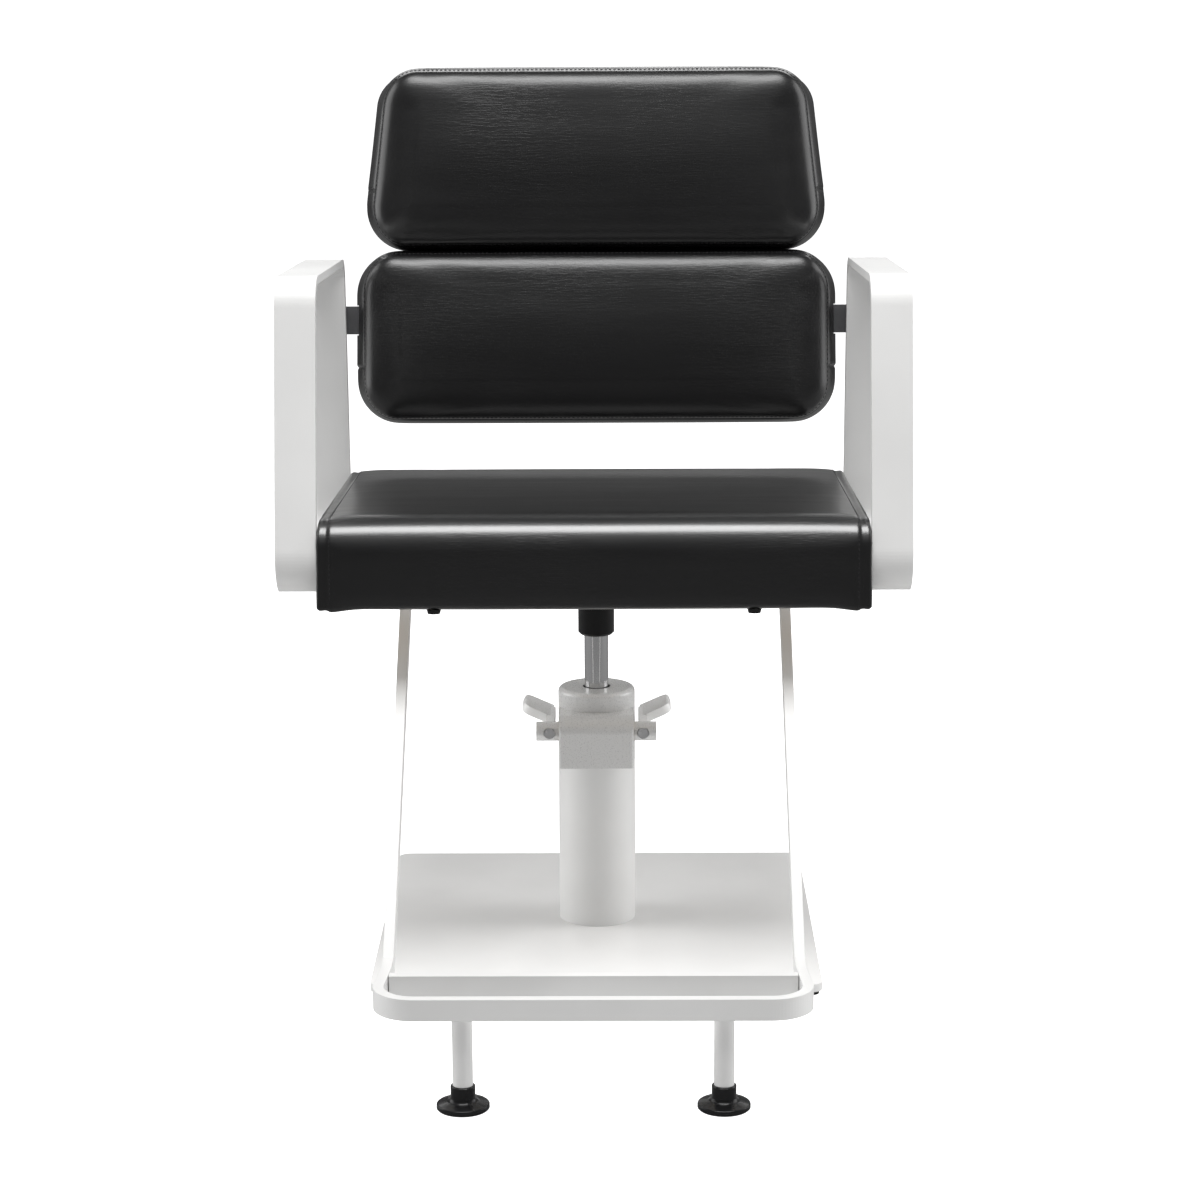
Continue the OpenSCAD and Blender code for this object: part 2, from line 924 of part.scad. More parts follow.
module seat_board() {
    color("#c9a777")
        seat_frame()
            difference() {
                translate([-seat_w / 2 + 12, -seat_front + board_margin, board_z])
                    cube([seat_w - 24, seat_front + seat_rear - 2 * board_margin, board_t]);
                at_seat_bolts()
                    cylinder(r = 5.5 + FIT, h = 60);
            }
}

module seat_tee_nuts() {
    color("#b7b9bb")
        seat_frame()
            at_seat_bolts()
                translate([0, 0, board_z + 2])
                    difference() {
                        union() {
                            cylinder(r = 5.5, h = board_t - 2);
                            translate([0, 0, board_t - 2])
                                cylinder(r = 10, h = 1.4);
                        }
                        translate([0, 0, -1])
                            cylinder(r = m8_r + FIT, h = 20);
                    }
}

module seat_bolts() {
    color("#9b9d9f")
        seat_frame()
            at_seat_bolts()
                translate([0, 0, rail_top])
                    m8_bolt(seat_bar_t + board_t);
}

module seat_buttons() {
    color("#151516")
        seat_frame()
            for (x = [-button_x, button_x])
                translate([x, -seat_front + 8, -4])
                    cylinder(r1 = 6, r2 = 7, h = 4);
}

module seat_cushion() {
    side_view = [
        [-seat_front, 0],
        [seat_rear, 0],
        [seat_rear, seat_t],
        [-seat_front, seat_t]
    ];
    recess_margin = board_margin - 2;
    color("#1d1d1f")
        seat_frame()
            difference() {
                across(seat_w)
                    polygon(rounded_loop(side_view, [4, 4, 12, 24]));
                translate([-seat_w / 2 + 10, -seat_front + recess_margin, -1])
                    cube([seat_w - 20, seat_front + seat_rear - 2 * recess_margin, recess_h + 1]);
                for (y = [front_bar_y, rear_bar_y])
                    translate([-BIG / 2, y - seat_bar_w / 2 - 0.5, rail_top - 0.5])
                        cube([BIG, seat_bar_w + 1, seat_bar_t + 1]);
            }
}

// ---- Arms ----

module right_arm_body() {
    difference() {
        seat_frame()
            translate([(arm_gap + arm_w) / 2, 0, 0])
                across(arm_w)
                    difference() {
                        polygon(rounded_loop(arm_loop, arm_radii));
                        polygon(rounded_loop(shifted_loop(arm_loop, arm_t),
                                             [for (r = arm_radii) r - arm_t]));
                    }
        seat_frame()
            for (y = [front_bar_y, rear_bar_y])
                translate([arm_bolt_x, y, board_z - 1])
                    cylinder(r = m8_r + FIT, h = arm_t + 2);
        back_frame()
            at_bar_bolts()
                y_rod(m8_r + FIT, -13.4, 0);
    }
}

module left_arm() {
    color("#e9e8e4")
        mirror([1, 0, 0])
            right_arm_body();
}

module right_arm() {
    color("#e9e8e4")
        right_arm_body();
}

// Bolts down through the arms, threaded into the seat bars
module arm_bolts() {
    color("#9b9d9f")
        seat_frame()
            for (x = [-arm_bolt_x, arm_bolt_x], y = [front_bar_y, rear_bar_y])
                translate([x, y, board_z + arm_t])
                    rotate([180, 0, 0])
                        m8_bolt(seat_bar_t + arm_t);
}

// ---- Back ----

// Bolts that hold the right end of the back bar to the arm
module at_bar_bolts() {
    for (x = [arm_bolt_x - 10, arm_bolt_x + 10])
        translate([x, 0, 0])
            children();
}

// Bolts that hold the right strap to the back bar
module at_strap_bolts() {
    for (x = [strap_x - 8, strap_x + 8])
        translate([x, 0, 0])
            children();
}

// Screws that hold the boards to the right strap
module at_board_screws() {
    for (z = screw_heights)
        translate([strap_x, 0, z])
            children();
}

module back_bar() {
    color("#55565a")
        back_frame()
            difference() {
                translate([-seat_bar_len / 2, -back_bar_t / 2, -back_bar_h / 2])
                    cube([seat_bar_len, back_bar_t, back_bar_h]);
                both_sides() {
                    at_bar_bolts()
                        y_rod(m8_r + 0.2, -back_bar_t, back_bar_t);
                    at_strap_bolts()
                        y_rod(m8_r + 0.2, -back_bar_t, back_bar_t);
                }
            }
}

// Wedge between the arm's leaning rear strip and the back bar
module back_bar_wedges() {
    low = seat_point(arm_loop[1][0], arm_loop[1][1]);
    high = seat_point(arm_loop[2][0], arm_loop[2][1]);
    bar_corners = [for (side = [-1, 1]) back_point(-back_bar_t / 2 - FIT, side * back_bar_h / 2)];
    arm_corners = [for (corner = bar_corners)
        low + (high - low) * (corner[1] - low[1]) / (high[1] - low[1]) + [FIT, 0]];
    color("#55565a")
        both_sides()
            difference() {
                translate([(arm_gap + arm_w) / 2, 0, 0])
                    across(arm_w - 12)
                        polygon([bar_corners[0], bar_corners[1], arm_corners[1], arm_corners[0]]);
                back_frame()
                    at_bar_bolts()
                        y_rod(m8_r + 0.2, -30, 5);
            }
}

module back_bar_bolts() {
    color("#3b3c3e")
        back_frame()
            both_sides()
                at_bar_bolts()
                    translate([0, back_bar_t / 2, 0])
                        rotate([90, 0, 0])
                            m8_bolt(back_bar_t / 2 + 13);
}

module back_straps() {
    color("#55565a")
        back_frame()
            both_sides()
                difference() {
                    translate([strap_x - strap_w / 2, strap_front, lower_pad_z[0] + 41])
                        cube([strap_w, strap_t, upper_pad_z[1] - lower_pad_z[0] - 83]);
                    at_strap_bolts()
                        y_rod(m8_r + FIT, -back_bar_h, back_bar_h);
                    at_board_screws()
                        y_rod(3.2, -back_bar_h, back_bar_h);
                }
}

module strap_bolts() {
    color("#3b3c3e")
        back_frame()
            both_sides()
                at_strap_bolts()
                    translate([0, back_bar_t / 2, 0])
                        rotate([90, 0, 0])
                            m8_bolt(back_bar_t + strap_t);
}

// Corners of a pad outline, bottom left first, counter-clockwise from the front
function pad_corners(half_bottom, half_top, heights) = [
    [-half_bottom, heights[0]],
    [half_bottom, heights[0]],
    [half_top, heights[1]],
    [-half_top, heights[1]]
];
lower_corners = pad_corners(lower_half_w, lower_half_w, lower_pad_z);
upper_corners = pad_corners(upper_half_w, upper_top_half_w, upper_pad_z);

// A pad's outline, moved inwards by a margin
module pad_outline(corners, radii, margin) {
    polygon(rounded_loop(shifted_loop(corners, margin), [for (r = radii) r - margin]));
}

module back_board(corners, radii) {
    back_frame()
        difference() {
            slab(board_front, strap_front)
                pad_outline(corners, radii, pad_wall + 2);
            both_sides()
                at_board_screws()
                    y_rod(3 + FIT, board_front + 2, 0);
            both_sides()
                at_strap_bolts()
                    y_rod(m8_r + 1, strap_front - 3, 0);
        }
}

module lower_back_board() {
    color("#c9a777")
        back_board(lower_corners, lower_radii);
}

module upper_back_board() {
    color("#c9a777")
        back_board(upper_corners, upper_radii);
}

module board_screws() {
    color("#9b9d9f")
        back_frame()
            both_sides()
                at_board_screws() {
                    y_rod(5.5, strap_front + strap_t, strap_front + strap_t + 3);
                    y_rod(3, board_front + 2.5, strap_front + strap_t + 1);
                }
}

// Foam and leather: a closed front and walls round a pocket for the metalwork
module back_pad(corners, radii) {
    back_frame()
        difference() {
            slab(pad_front, pad_rear)
                pad_outline(corners, radii, 0);
            slab(board_front - 0.3, pad_rear + 1)
                pad_outline(corners, radii, pad_wall);
            translate([-BIG / 2, -back_bar_t / 2 - 1, -back_bar_h / 2 - 1])
                cube([BIG, BIG, back_bar_h + 2]);
            both_sides()
                translate([strap_x - strap_w / 2 - 1, strap_front - 1, lower_pad_z[0] + 40])
                    cube([strap_w + 2, BIG, upper_pad_z[1] - lower_pad_z[0] - 80]);
        }
}

module lower_back_pad() {
    color("#1d1d1f")
        back_pad(lower_corners, lower_radii);
}

module upper_back_pad() {
    color("#1d1d1f")
        back_pad(upper_corners, upper_radii);
}

module rear_panel(corners, radii) {
    back_frame()
        slab(pad_rear + 0.2, pad_rear + panel_t)
            pad_outline(corners, radii, 4);
}

module lower_rear_panel() {
    color("#1a1a1b")
        rear_panel(lower_corners, lower_radii);
}

module upper_rear_panel() {
    color("#1a1a1b")
        rear_panel(upper_corners, upper_radii);
}

base_mat();
base_plate();
column_tube();
cylinder_foot();
pump_cylinder();
pump_head();
ram_bush();
ram_wiper_seal();
shaft_bushes();
pump_barrel();
oil_pipe();
check_valve_balls();
plunger_spring();
cross_shaft();
plunger_rocker();
left_pedal();
right_pedal();
pedal_bolts();
pump_plunger();
ram_piston();
piston_rings();
ram();
ram_nut();
ram_socket();
socket_cover();
seat_plate();
left_hanger();
right_hanger();
footrest_frame();
footrest_cross_bar();
left_leg();
right_leg();
leg_inserts();
left_glide();
right_glide();
left_glide_stud();
right_glide_stud();
front_seat_bar();
rear_seat_bar();
seat_board();
seat_tee_nuts();
seat_bolts();
seat_buttons();
seat_cushion();
left_arm();
right_arm();
arm_bolts();
back_bar();
back_bar_wedges();
back_bar_bolts();
back_straps();
strap_bolts();
lower_back_board();
upper_back_board();
board_screws();
lower_back_pad();
upper_back_pad();
lower_rear_panel();
upper_rear_panel();
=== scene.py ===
"""A styling chair: finishes for the CAD frame, and the upholstery built round it. Lengths are in metres."""

import json
import math

import bmesh
import bpy
from mathutils import Matrix, Vector


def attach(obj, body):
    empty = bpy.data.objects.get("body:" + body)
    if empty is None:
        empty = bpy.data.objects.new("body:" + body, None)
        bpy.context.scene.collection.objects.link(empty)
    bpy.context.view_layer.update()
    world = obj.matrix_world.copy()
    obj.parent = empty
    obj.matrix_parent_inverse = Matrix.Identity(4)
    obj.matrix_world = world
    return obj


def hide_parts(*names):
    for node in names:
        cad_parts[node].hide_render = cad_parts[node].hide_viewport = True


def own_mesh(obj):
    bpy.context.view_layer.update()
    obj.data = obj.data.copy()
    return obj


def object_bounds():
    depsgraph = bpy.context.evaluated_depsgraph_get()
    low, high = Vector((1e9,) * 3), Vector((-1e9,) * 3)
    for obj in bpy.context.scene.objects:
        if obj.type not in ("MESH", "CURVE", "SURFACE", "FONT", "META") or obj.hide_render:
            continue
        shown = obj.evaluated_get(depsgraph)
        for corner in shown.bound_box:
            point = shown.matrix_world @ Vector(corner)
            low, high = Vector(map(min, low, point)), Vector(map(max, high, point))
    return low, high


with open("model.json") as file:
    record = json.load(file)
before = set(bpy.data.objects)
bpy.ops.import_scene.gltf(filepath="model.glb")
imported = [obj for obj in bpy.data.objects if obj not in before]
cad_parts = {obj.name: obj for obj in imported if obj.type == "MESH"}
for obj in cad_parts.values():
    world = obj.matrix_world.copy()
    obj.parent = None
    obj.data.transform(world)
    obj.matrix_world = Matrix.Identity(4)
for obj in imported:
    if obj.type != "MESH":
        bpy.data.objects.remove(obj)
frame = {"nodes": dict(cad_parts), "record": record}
cad_lo, cad_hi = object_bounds()
nodes = frame["nodes"]
MM = 0.001


# ---- Places taken from the frame ----


def tilt_of(node):
    """The turn about X of a flat board, from its largest face: its thin direction leans by this angle."""
    face = max(nodes[node].data.polygons, key=lambda polygon: polygon.area)
    normal = face.normal
    if abs(normal.z) > abs(normal.y):
        return math.atan2(normal.y, normal.z) if normal.z > 0 else math.atan2(-normal.y, -normal.z)
    return math.atan2(-normal.z, normal.y) if normal.y > 0 else math.atan2(normal.z, -normal.y)


def leaning_frame(node):
    """A frame turned with a board: its Y and Z axes lean back with the board."""
    return Matrix.Rotation(-tilt_of(node), 3, "X")


def box_in(axes, node):
    """Lowest and highest corner of a CAD node in a turned frame."""
    back = axes.transposed()
    points = [back @ vertex.co for vertex in nodes[node].data.vertices]
    lo = Vector([min(p[i] for p in points) for i in range(3)])
    hi = Vector([max(p[i] for p in points) for i in range(3)])
    return lo, hi


SEAT = leaning_frame("seat_board")
BACK = leaning_frame("lower_back_board")


# ---- Node materials ----


class Shader:
    """A Principled material under construction."""

    def __init__(self, name):
        self.material = bpy.data.materials.new(name)
        self.material.use_nodes = True
        self.tree = self.material.node_tree
        self.principled = self.tree.nodes["Principled BSDF"]

    def add(self, kind, **values):
        node = self.tree.nodes.new("ShaderNode" + kind)
        for key, value in values.items():
            if hasattr(node, key):
                setattr(node, key, value)
            else:
                self.plug(value, node.inputs[key.replace("_", " ")])
        return node

    def plug(self, value, socket):
        if isinstance(value, bpy.types.NodeSocket):
            self.tree.links.new(value, socket)
        else:
            socket.default_value = value

    def set(self, **values):
        for key, value in values.items():
            self.plug(value, self.principled.inputs[key.replace("_", " ")])

    def points(self, stretch=(1, 1, 1)):
        """Object coordinates, stretched per axis."""
        place = self.add("TexCoord").outputs["Object"]
        return self.add("Mapping", Vector=place, Scale=stretch).outputs["Vector"]

    def noise(self, scale, stretch=(1, 1, 1), detail=2.0, roughness=0.5):
        texture = self.add("TexNoise", Vector=self.points(stretch), Scale=scale)
        texture.inputs["Detail"].default_value = detail
        texture.inputs["Roughness"].default_value = roughness
        return texture.outputs["Fac"]

    def ramp(self, value, low, high, low_to, high_to):
        """Maps low..high of a value to low_to..high_to, held at the ends."""
        node = self.add("MapRange")
        for key, number in (("From Min", low), ("From Max", high), ("To Min", low_to), ("To Max", high_to)):
            node.inputs[key].default_value = number
        self.plug(value, node.inputs["Value"])
        return node.outputs["Result"]

    def math(self, operation, first, second):
        node = self.add("Math", operation=operation)
        self.plug(first, node.inputs[0])
        self.plug(second, node.inputs[1])
        return node.outputs[0]

    def mix_colour(self, share, first, second):
        node = self.add("Mix", data_type="RGBA")
        self.plug(share, node.inputs["Factor"])
        self.plug((*first, 1), node.inputs[6])
        self.plug((*second, 1), node.inputs[7])
        return node.outputs[2]

    def bump(self, height, distance, strength=1.0, normal=None):
        node = self.add("Bump")
        node.inputs["Strength"].default_value = strength
        node.inputs["Distance"].default_value = distance
        self.plug(height, node.inputs["Height"])
        if normal is not None:
            self.plug(normal, node.inputs["Normal"])
        return node.outputs["Normal"]

    def soft_edges(self, radius):
        return self.add("Bevel", samples=6, Radius=radius).outputs["Normal"]


def powder_coat(name, colour, roughness, grain=0.02 * MM, edge=0.8 * MM, darker=0.93, metallic=0.0):
    """Powder-coated steel: a fine orange peel, soft edges and a slight unevenness of tone."""
    shader = Shader(name)
    clouds = shader.noise(7.0, detail=3.0)
    tone = shader.ramp(clouds, 0.35, 0.7, 0.0, 1.0)
    shader.set(Base_Color=shader.mix_colour(tone, [c * darker for c in colour], colour))
    fine = shader.noise(900.0, detail=3.0)
    shader.set(Roughness=shader.ramp(fine, 0.3, 0.7, roughness - 0.05, roughness + 0.05))
    peel = shader.noise(420.0, detail=1.0)
    shader.set(Normal=shader.bump(peel, grain, normal=shader.soft_edges(edge)))
    shader.set(IOR=1.45, Coat_Weight=0.15, Coat_Roughness=0.25, Metallic=metallic)
    return shader.material


def bare_metal(name, colour, roughness, stretch=(1, 1, 1), scale=300.0, depth=0.004 * MM):
    """Polished, drawn or plated metal with fine lines along the stretched direction."""
    shader = Shader(name)
    lines = shader.noise(scale, stretch=stretch, detail=3.0)
    shader.set(Base_Color=shader.mix_colour(lines, [c * 0.88 for c in colour], colour))
    shader.set(Roughness=shader.ramp(lines, 0.3, 0.7, roughness * 0.7, roughness * 1.3))
    shader.set(Metallic=1.0)
    shader.set(Normal=shader.bump(lines, depth, normal=shader.soft_edges(0.3 * MM)))
    return shader.material


def moulded(name, colour, roughness, grain_scale=700.0, grain=0.02 * MM, edge=0.6 * MM, coat=0.0):
    """Moulded plastic or rubber with a fine grain."""
    shader = Shader(name)
    patches = shader.noise(30.0, detail=3.0)
    light = [c * 1.35 for c in colour]
    shader.set(Base_Color=shader.mix_colour(patches, colour, light))
    shader.set(Roughness=shader.ramp(patches, 0.3, 0.7, roughness - 0.04, roughness + 0.06))
    grain_height = shader.noise(grain_scale, detail=2.0)
    shader.set(Normal=shader.bump(grain_height, grain, normal=shader.soft_edges(edge)))
    shader.set(Coat_Weight=coat, Coat_Roughness=0.08, Specular_IOR_Level=0.3)
    return shader.material


def leather(name, crease_stretch=(0.12, 1.0, 1.0), crease_strength=0.5):
    """Black coated leather: fine grain, brushed creases in patches, and a soft sheen."""
    shader = Shader(name)
    clouds = shader.noise(9.0, detail=4.0)
    shader.set(Base_Color=shader.mix_colour(clouds, (0.004, 0.004, 0.0044), (0.008, 0.008, 0.0084)))
    pores = shader.add("TexVoronoi", Vector=shader.points(), Scale=1100.0, distance="EUCLIDEAN")
    pores.feature = "SMOOTH_F1"
    creases = shader.noise(560.0, stretch=crease_stretch, detail=4.0, roughness=0.6)
    ridges = shader.ramp(creases, 0.42, 0.62, 0.0, 1.0)
    patches = shader.ramp(shader.noise(5.0, detail=3.0), 0.42, 0.66, 0.08, 1.0)
    worn = shader.math("MULTIPLY", ridges, patches)
    grain = shader.bump(pores.outputs["Distance"], 0.05 * MM, strength=0.5)
    creased = shader.bump(worn, 0.3 * MM, strength=crease_strength, normal=grain)
    gathers = shader.noise(190.0, stretch=(1.0, 0.14, 0.14), detail=4.0, roughness=0.6)
    roll = shader.add("Attribute", attribute_name="roll").outputs["Fac"]
    rolled = shader.math("MULTIPLY", gathers, roll)
    shader.set(Normal=shader.bump(rolled, 0.35 * MM, strength=0.6, normal=creased))
    shine = shader.ramp(shader.noise(60.0, stretch=crease_stretch, detail=4.0), 0.3, 0.7, 0.28, 0.38)
    shader.set(Roughness=shine)
    shader.set(IOR=1.45, Specular_IOR_Level=0.5, Coat_Weight=0.9)
    shader.set(Coat_Roughness=shader.ramp(roll, 0.45, 1.0, 0.3, 0.24))
    shader.set(Coat_IOR=shader.ramp(roll, 0.45, 1.0, 1.5, 2.1))
    return shader.material


def thread(name):
    """Waxed black sewing thread with a twist."""
    shader = Shader(name)
    twist = shader.noise(2500.0, stretch=(1, 0.3, 1), detail=1.0)
    shader.set(Base_Color=shader.mix_colour(twist, (0.012, 0.012, 0.013), (0.03, 0.03, 0.032)))
    shader.set(Roughness=0.55, Normal=shader.bump(twist, 0.05 * MM))
    return shader.material


def plywood(name):
    """Birch plywood with long grain."""
    shader = Shader(name)
    grain = shader.noise(30.0, stretch=(0.1, 3.0, 3.0), detail=6.0)
    shader.set(Base_Color=shader.mix_colour(grain, (0.52, 0.42, 0.31), (0.7, 0.6, 0.48)))
    shader.set(Roughness=0.65, Normal=shader.bump(grain, 0.1 * MM))
    return shader.material


FINISHES = {
    "white_paint": powder_coat("white_powder_coat", (0.80, 0.798, 0.79), 0.4),
    "silver_paint": powder_coat(
        "silver_powder_coat", (0.76, 0.76, 0.755), 0.3, 0.006 * MM, darker=0.95, metallic=0.2
    ),
    "pedal_paint": powder_coat("pedal_powder_coat", (0.95, 0.95, 0.945), 0.3),
    "grey_paint": powder_coat("grey_powder_coat", (0.10, 0.10, 0.105), 0.4),
    "black_leather": leather("black_leather"),
    "black_rubber": moulded("black_rubber", (0.012, 0.012, 0.012), 0.7),
    "black_plastic": moulded("black_plastic", (0.006, 0.006, 0.0063), 0.3, grain=0.01 * MM),
    "black_gloss": moulded("black_gloss_plastic", (0.006, 0.006, 0.0065), 0.25, grain=0.006 * MM, coat=0.2),
    "chrome": bare_metal("polished_chrome", (0.78, 0.78, 0.785), 0.12, stretch=(1, 1, 0.02)),
    "zinc_steel": bare_metal("zinc_plated_steel", (0.75, 0.75, 0.76), 0.35),
    "dark_steel": bare_metal("blackened_steel", (0.06, 0.06, 0.065), 0.45),
    "bronze": bare_metal("sintered_bronze", (0.55, 0.4, 0.2), 0.4),
    "copper_pipe": bare_metal("copper_pipe", (0.62, 0.34, 0.18), 0.3),
    "plywood": plywood("birch_plywood"),
}
THREAD = thread("black_thread")

for row in frame["record"]["subparts"]:
    cad_object = nodes[row["node"]]
    cad_object.data.materials.clear()
    cad_object.data.materials.append(FINISHES[row["material_slot"]])


# ---- Mesh helpers ----


def new_piece(name, points, faces, material):
    """A mesh object in the row frame."""
    mesh = bpy.data.meshes.new(name)
    mesh.from_pydata([tuple(p) for p in points], [], faces)
    mesh.validate()
    mesh.materials.append(material)
    for face in mesh.polygons:
        face.use_smooth = True
    piece = bpy.data.objects.new(name, mesh)
    bpy.context.collection.objects.link(piece)
    return piece


def recalculate_normals(piece):
    work = bmesh.new()
    work.from_mesh(piece.data)
    bmesh.ops.recalc_face_normals(work, faces=work.faces)
    work.to_mesh(piece.data)
    work.free()


def apply_modifiers(piece):
    """Replaces the piece's mesh with its evaluated mesh and drops its modifiers."""
    bpy.context.view_layer.update()
    depsgraph = bpy.context.evaluated_depsgraph_get()
    mesh = bpy.data.meshes.new_from_object(piece.evaluated_get(depsgraph), depsgraph=depsgraph)
    mesh.name = piece.name
    piece.modifiers.clear()
    piece.data = mesh


def loop_faces(first, second):
    """Quads between two closed loops of vertex numbers."""
    count = len(first)
    return [(first[i], first[(i + 1) % count], second[(i + 1) % count], second[i]) for i in range(count)]


def patch_inside(points, faces, loop, across, along):
    """Fills a closed loop with a grid. The loop runs across, along, back across and back along."""
    grid = {}
    for i in range(across + 1):
        grid[i, 0] = loop[i]
        grid[i, along] = loop[2 * across + along - i]
    for j in range(1, along):
        grid[0, j] = loop[(2 * across + 2 * along - j) % len(loop)]
        grid[across, j] = loop[across + j]

    def at(i, j):
        return points[grid[i, j]]

    inner = {}
    for i in range(1, across):
        for j in range(1, along):
            u, v = i / across, j / along
            sides = at(0, j) * (1 - u) + at(across, j) * u + at(i, 0) * (1 - v) + at(i, along) * v
            corners = (at(0, 0) * (1 - u) + at(across, 0) * u) * (1 - v)
            corners += (at(0, along) * (1 - u) + at(across, along) * u) * v
            inner[i, j] = sides - corners
    for key, point in inner.items():
        grid[key] = len(points)
        points.append(point)
    for i in range(across):
        for j in range(along):
            faces.append((grid[i, j], grid[i + 1, j], grid[i + 1, j + 1], grid[i, j + 1]))
    return grid


def puff(piece, held, pressure, cap, stiffness=12.0, frames=20):
    """Swells a closed mesh with a cloth simulation, holding some vertices.

    No point moves further than cap.
    """
    group = piece.vertex_groups.new(name="held")
    group.add(held, 1.0, "REPLACE")
    cloth = piece.modifiers.new("cloth", "CLOTH")
    settings = cloth.settings
    settings.quality = 6
    settings.mass = 0.25
    settings.tension_stiffness = stiffness
    settings.compression_stiffness = stiffness
    settings.shear_stiffness = stiffness / 2
    settings.bending_stiffness = 0.3
    settings.vertex_group_mass = "held"
    settings.use_pressure = True
    settings.uniform_pressure_force = pressure
    settings.effector_weights.gravity = 0
    cloth.collision_settings.use_collision = False
    cloth.point_cache.frame_start = 1
    cloth.point_cache.frame_end = frames
    scene = bpy.context.scene
    for number in range(1, frames + 1):
        scene.frame_set(number)
    depsgraph = bpy.context.evaluated_depsgraph_get()
    swollen = [v.co.copy() for v in piece.evaluated_get(depsgraph).data.vertices]
    piece.modifiers.remove(cloth)
    piece.vertex_groups.remove(group)
    for vertex, target in zip(piece.data.vertices, swollen):
        move = target - vertex.co
        if move.length > 1e-9:
            vertex.co += move * (cap * math.tanh(move.length / cap) / move.length)
    scene.frame_set(1)


def melt(piece, weights, passes):
    """Smooths a mesh by each vertex's weight, so that no crease is left in the leather."""
    group = piece.vertex_groups.new(name="melted")
    for number, weight in enumerate(weights):
        if weight > 0:
            group.add([number], weight, "REPLACE")
    smooth = piece.modifiers.new("smooth", "SMOOTH")
    smooth.factor = 0.5
    smooth.iterations = passes
    smooth.vertex_group = group.name
    apply_modifiers(piece)
    piece.vertex_groups.clear()


def cut_with_boxes(piece, boxes, axes):
    """Cuts boxes out of a closed piece. Boxes are (low, high) corners in a turned frame."""
    for number, (lo, hi) in enumerate(boxes):
        work = bmesh.new()
        bmesh.ops.create_cube(work, size=1.0)
        for vertex in work.verts:
            local = Vector([(lo[i] + hi[i]) / 2 + vertex.co[i] * (hi[i] - lo[i]) for i in range(3)])
            vertex.co = axes @ local
        mesh = bpy.data.meshes.new(f"cutter_{number}")
        work.to_mesh(mesh)
        work.free()
        cutter = bpy.data.objects.new(f"cutter_{number}", mesh)
        bpy.context.collection.objects.link(cutter)
        cut = piece.modifiers.new("cut", "BOOLEAN")
        cut.operation = "DIFFERENCE"
        cut.solver = "EXACT"
        cut.object = cutter
        apply_modifiers(piece)
        bpy.data.objects.remove(cutter)


def subdivide(piece, levels=1):
    surface = piece.modifiers.new("subdivision", "SUBSURF")
    surface.levels = levels
    surface.render_levels = levels
    apply_modifiers(piece)


def stitches(name, line, body, pitch=4.6 * MM, length=3.0 * MM, radius=0.38 * MM, sides=6):
    """A row of thread stitches along a line of (point, outward normal)."""
    points, faces = [], []
    profile = [(-0.5, 0.25), (-0.38, 0.85), (0.0, 1.0), (0.38, 0.85), (0.5, 0.25)]
    walked, due = 0.0, pitch / 2
    for (start, normal), (end, _) in zip(line, line[1:]):
        step = end - start
        while due <= walked + step.length and step.length > 0:
            centre = start + step * ((due - walked) / step.length)
            along = step.normalized()
            side = along.cross(normal).normalized()
            up = side.cross(along).normalized()
            first = len(points)
            for offset, share in profile:
                sink = -0.5 * radius if share < 0.5 else 0.3 * radius
                middle = centre + along * (offset * length) + up * sink
                for k in range(sides):
                    angle = 2 * math.pi * k / sides
                    spoke = side * math.cos(angle) + up * math.sin(angle)
                    points.append(middle + spoke * (radius * share))
            for ring in range(len(profile) - 1):
                low = [first + ring * sides + k for k in range(sides)]
                faces += loop_faces(low, [number + sides for number in low])
            faces.append(tuple(first + k for k in reversed(range(sides))))
            faces.append(tuple(first + (len(profile) - 1) * sides + k for k in range(sides)))
            due += pitch
        walked += step.length
    row = new_piece(name, points, faces, THREAD)
    recalculate_normals(row)
    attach(row, body)


def surface_line(piece, guide, reach=0.03):
    """Moves guide points, given as (point, outward normal), onto a piece's surface."""
    moved = []
    for point, normal in guide:
        hit, place, found, _ = piece.ray_cast(point + normal * reach, -normal, distance=2 * reach)
        moved.append((place if hit else point, found if hit else normal))
    return moved


# ---- Upholstery ----


def rounded_outline(corners, radii, sides, corner_steps):
    """(centre, outward normal, radius) round a polygon with rounded corners, from the first corner's middle.

    Corners run counter-clockwise. A point on the outline is centre + normal * radius.
    """
    count = len(corners)
    arcs = []
    for i, corner in enumerate(corners):
        before = (corner - corners[i - 1]).normalized()
        after = (corners[(i + 1) % count] - corner).normalized()
        start = math.atan2(-before.x, before.y)
        sweep = (math.atan2(-after.x, after.y) - start) % (2 * math.pi)
        inward = (after - before).normalized()
        centre = corner + inward * (radii[i] / math.cos(sweep / 2))
        arcs.append([
            (centre, start + sweep * k / corner_steps, radii[i])
            for k in range(corner_steps + 1)
        ])
    half = corner_steps // 2
    outline = []
    for i in range(count):
        arc, following = arcs[i], arcs[(i + 1) % count]
        outline += arc[half:]
        centre, angle, radius = arc[-1]
        for k in range(1, sides[i % 2]):
            share = k / sides[i % 2]
            outline.append((
                centre.lerp(following[0][0], share),
                angle,
                radius + (following[0][2] - radius) * share,
            ))
        outline += following[:half]
    return [(centre, Vector((math.cos(a), math.sin(a))), radius) for centre, a, radius in outline]


def mark_roll(piece, share_at):
    """Stores how strongly each point's leather is gathered over a rounded edge."""
    mark = piece.data.attributes.new("roll", "FLOAT", "POINT")
    mark.data.foreach_set("value", [share_at(vertex.co) for vertex in piece.data.vertices])


def hump(value, middle, reach):
    return math.exp(-((value - middle) / reach) ** 2)


# Back pads

